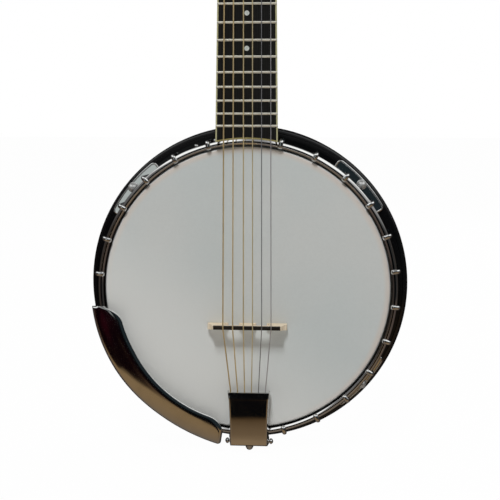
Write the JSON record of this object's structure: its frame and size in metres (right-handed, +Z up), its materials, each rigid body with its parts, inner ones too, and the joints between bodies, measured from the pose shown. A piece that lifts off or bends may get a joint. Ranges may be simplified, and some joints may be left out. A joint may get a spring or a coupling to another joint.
{
  "type": "six-string resonator banjo",
  "caption": "Guitar-tuned banjo with a round frosted head, chrome tension hoop with bracket hooks, black resonator, armrest, hinged tailpiece cover, floating bridge and fretted neck.",
  "frame": {"origin": "centre of the flat on the resonator's back, which is on the pot's axis", "axes": "+Z up the neck to the headstock, +Y out of the back, the head faces -Y, +X is the treble side"},
  "size_m": [0.3098, 0.1128, 0.9706],
  "materials": {
    "chrome": "bright chrome plate, lightly soiled",
    "cast_aluminium": "turned and lightly polished casting",
    "frosted_head": "frosted white coated film",
    "black_resonator": "gloss black",
    "maple_bridge": "bare maple with an ebony top strip",
    "dark_neck": "dark stained, satin lacquer",
    "fretboard": "near-black board with cream binding and nickel frets",
    "bone_nut": "bone coloured, polished",
    "black_cover": "gloss black",
    "plain_steel": "nickel-plated steel",
    "bronze_wound": "bronze wound wire",
    "tuner_button": "cream plastic button on a steel worm"
  },
  "bodies": {
    "pot_and_neck": {"rim": "cast_aluminium", "head": "frosted_head", "tension_hoop": "chrome", "resonator": "black_resonator", "bracket_hook_01": "chrome", "bracket_hook_02": "chrome", "bracket_hook_03": "chrome", "bracket_hook_04": "chrome", "bracket_hook_05": "chrome", "bracket_hook_06": "chrome", "bracket_hook_07": "chrome", "bracket_hook_08": "chrome", "bracket_hook_09": "chrome", "bracket_hook_10": "chrome", "bracket_hook_11": "chrome", "bracket_hook_12": "chrome", "bracket_hook_13": "chrome", "bracket_hook_14": "chrome", "bracket_hook_15": "chrome", "bracket_hook_16": "chrome", "flange_plate_upper_right": "chrome", "flange_plate_lower_right": "chrome", "flange_plate_upper_left": "chrome", "flange_plate_lower_left": "chrome", "armrest": "chrome", "bridge": "maple_bridge", "neck": "dark_neck", "truss_rod": "plain_steel", "fretboard": "fretboard", "string_nut": "bone_nut", "truss_rod_cover": "black_cover", "coordinator_rod": "plain_steel", "tailpiece_base": "chrome", "tailpiece_pin": "chrome", "tuner_plate_bass": "chrome", "tuner_plate_treble": "chrome", "string_1": "plain_steel", "string_2": "plain_steel", "string_3": "bronze_wound", "string_4": "bronze_wound", "string_5": "bronze_wound", "string_6": "bronze_wound"},
    "thumbscrew_upper_right_body": {"thumbscrew_upper_right": "chrome"},
    "thumbscrew_lower_right_body": {"thumbscrew_lower_right": "chrome"},
    "thumbscrew_upper_left_body": {"thumbscrew_upper_left": "chrome"},
    "thumbscrew_lower_left_body": {"thumbscrew_lower_left": "chrome"},
    "tail_cover": {"tailpiece_cover": "chrome"},
    "tail_screw": {"tailpiece_screw": "chrome"},
    "button_1": {"tuner_button_1": "tuner_button"},
    "post_1": {"tuner_post_1": "plain_steel"},
    "button_2": {"tuner_button_2": "tuner_button"},
    "post_2": {"tuner_post_2": "plain_steel"},
    "button_3": {"tuner_button_3": "tuner_button"},
    "post_3": {"tuner_post_3": "plain_steel"},
    "button_4": {"tuner_button_4": "tuner_button"},
    "post_4": {"tuner_post_4": "plain_steel"},
    "button_5": {"tuner_button_5": "tuner_button"},
    "post_5": {"tuner_post_5": "plain_steel"},
    "button_6": {"tuner_button_6": "tuner_button"},
    "post_6": {"tuner_post_6": "plain_steel"}
  },
  "joints": [
    {"name": "thumbscrew_upper_right_turn", "type": "hinge", "parent": "pot_and_neck", "child": "thumbscrew_upper_right_body", "pos_m": [0.10802, -0.096, 0.09911], "axis": [0, 1, 0], "continuous": true},
    {"name": "thumbscrew_lower_right_turn", "type": "hinge", "parent": "pot_and_neck", "child": "thumbscrew_lower_right_body", "pos_m": [0.11141, -0.096, -0.09528], "axis": [0, 1, 0], "continuous": true},
    {"name": "thumbscrew_upper_left_turn", "type": "hinge", "parent": "pot_and_neck", "child": "thumbscrew_upper_left_body", "pos_m": [-0.11141, -0.096, 0.09528], "axis": [0, 1, 0], "continuous": true},
    {"name": "thumbscrew_lower_left_turn", "type": "hinge", "parent": "pot_and_neck", "child": "thumbscrew_lower_left_body", "pos_m": [-0.10802, -0.096, -0.09911], "axis": [0, 1, 0], "continuous": true},
    {"name": "tailpiece_cover_open", "type": "hinge", "parent": "pot_and_neck", "child": "tail_cover", "pos_m": [0.0025, -0.095, -0.149], "axis": [1, 0, 0], "range_deg": [0, 55]},
    {"name": "tailpiece_screw_turn", "type": "hinge", "parent": "pot_and_neck", "child": "tail_screw", "pos_m": [0.0025, -0.0898, -0.149], "axis": [0, 0, 1], "continuous": true},
    {"name": "tuner_1_turn", "type": "hinge", "parent": "pot_and_neck", "child": "button_1", "pos_m": [0.026, -0.05935, 0.6704], "axis": [1, 0, 0], "continuous": true},
    {"name": "post_1_turn", "type": "hinge", "parent": "pot_and_neck", "child": "post_1", "pos_m": [0.026, -0.07514, 0.68345], "axis": [0, 0.9724, -0.2334], "continuous": true},
    {"name": "tuner_2_turn", "type": "hinge", "parent": "pot_and_neck", "child": "button_2", "pos_m": [0.026, -0.05001, 0.7093], "axis": [1, 0, 0], "continuous": true},
    {"name": "post_2_turn", "type": "hinge", "parent": "pot_and_neck", "child": "post_2", "pos_m": [0.026, -0.0658, 0.72234], "axis": [0, 0.9724, -0.2334], "continuous": true},
    {"name": "tuner_3_turn", "type": "hinge", "parent": "pot_and_neck", "child": "button_3", "pos_m": [0.026, -0.04067, 0.74819], "axis": [1, 0, 0], "continuous": true},
    {"name": "post_3_turn", "type": "hinge", "parent": "pot_and_neck", "child": "post_3", "pos_m": [0.026, -0.05646, 0.76124], "axis": [0, 0.9724, -0.2334], "continuous": true},
    {"name": "tuner_4_turn", "type": "hinge", "parent": "pot_and_neck", "child": "button_4", "pos_m": [-0.026, -0.04067, 0.74819], "axis": [-1, 0, 0], "continuous": true},
    {"name": "post_4_turn", "type": "hinge", "parent": "pot_and_neck", "child": "post_4", "pos_m": [-0.026, -0.05646, 0.76124], "axis": [0, 0.9724, -0.2334], "continuous": true},
    {"name": "tuner_5_turn", "type": "hinge", "parent": "pot_and_neck", "child": "button_5", "pos_m": [-0.026, -0.05001, 0.7093], "axis": [-1, 0, 0], "continuous": true},
    {"name": "post_5_turn", "type": "hinge", "parent": "pot_and_neck", "child": "post_5", "pos_m": [-0.026, -0.0658, 0.72234], "axis": [0, 0.9724, -0.2334], "continuous": true},
    {"name": "tuner_6_turn", "type": "hinge", "parent": "pot_and_neck", "child": "button_6", "pos_m": [-0.026, -0.05935, 0.6704], "axis": [-1, 0, 0], "continuous": true},
    {"name": "post_6_turn", "type": "hinge", "parent": "pot_and_neck", "child": "post_6", "pos_m": [-0.026, -0.07514, 0.68345], "axis": [0, 0.9724, -0.2334], "continuous": true}
  ],
  "couplings": [
    {"joint": "post_1_turn", "follows": "tuner_1_turn", "ratio": 0.071429},
    {"joint": "post_2_turn", "follows": "tuner_2_turn", "ratio": 0.071429},
    {"joint": "post_3_turn", "follows": "tuner_3_turn", "ratio": 0.071429},
    {"joint": "post_4_turn", "follows": "tuner_4_turn", "ratio": 0.071429},
    {"joint": "post_5_turn", "follows": "tuner_5_turn", "ratio": 0.071429},
    {"joint": "post_6_turn", "follows": "tuner_6_turn", "ratio": 0.071429}
  ]
}
